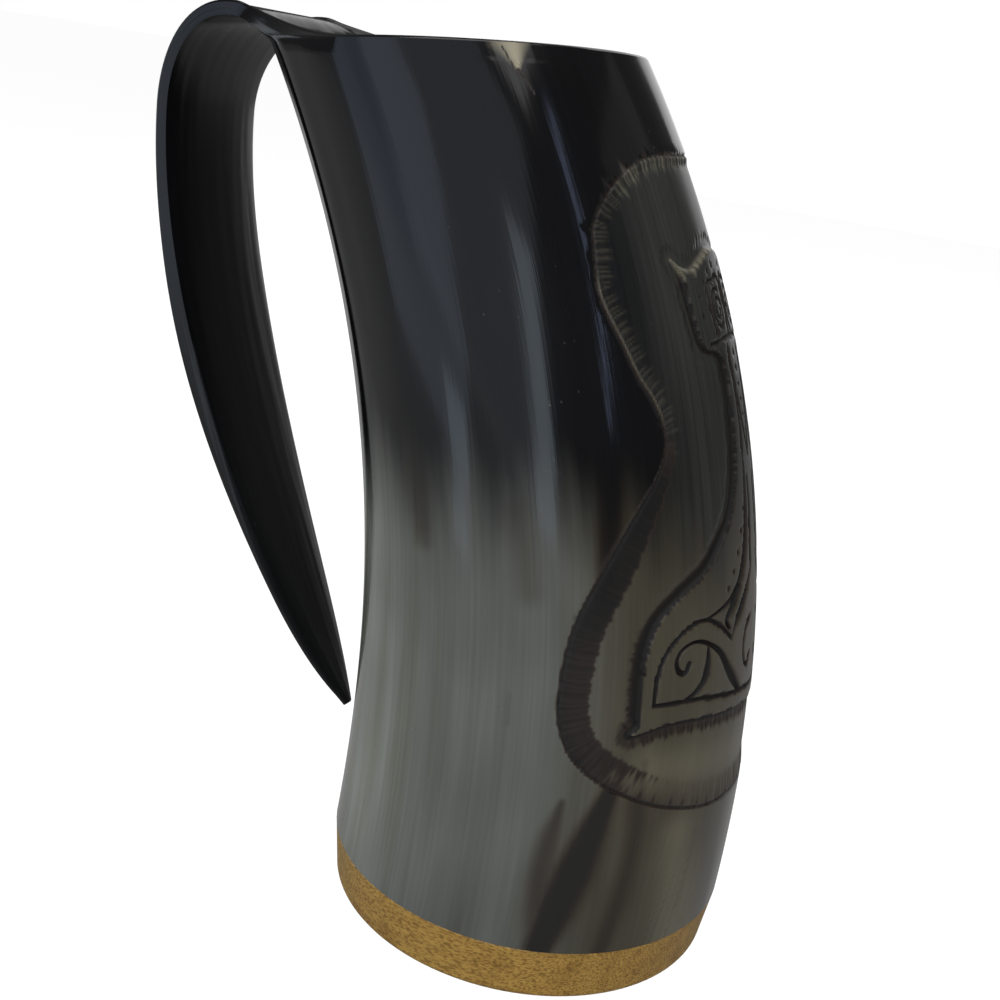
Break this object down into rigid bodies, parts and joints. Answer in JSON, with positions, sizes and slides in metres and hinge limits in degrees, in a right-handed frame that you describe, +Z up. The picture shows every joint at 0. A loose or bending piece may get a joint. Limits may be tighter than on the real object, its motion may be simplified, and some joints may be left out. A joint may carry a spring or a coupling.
{
  "type": "horn drinking cup",
  "caption": "Curved dark horn cup on a turned wooden base; the horn's own tip strip is folded over the rim and runs down as a free ended handle.",
  "frame": {"origin": "centre of the underside of the wooden base", "axes": "+Z up; the horn leans and the handle points towards -X; the XZ plane is the plane of the horn's bend"},
  "size_m": [0.1417, 0.0812, 0.1694],
  "materials": {
    "horn": "polished",
    "wood": "oiled",
    "glue": "clear amber",
    "resin": "clear gloss"
  },
  "bodies": {
    "root": {"horn": "horn", "wooden_base": "wood", "glue_joint": "glue", "floor_seal": "resin"}
  },
  "joints": []
}
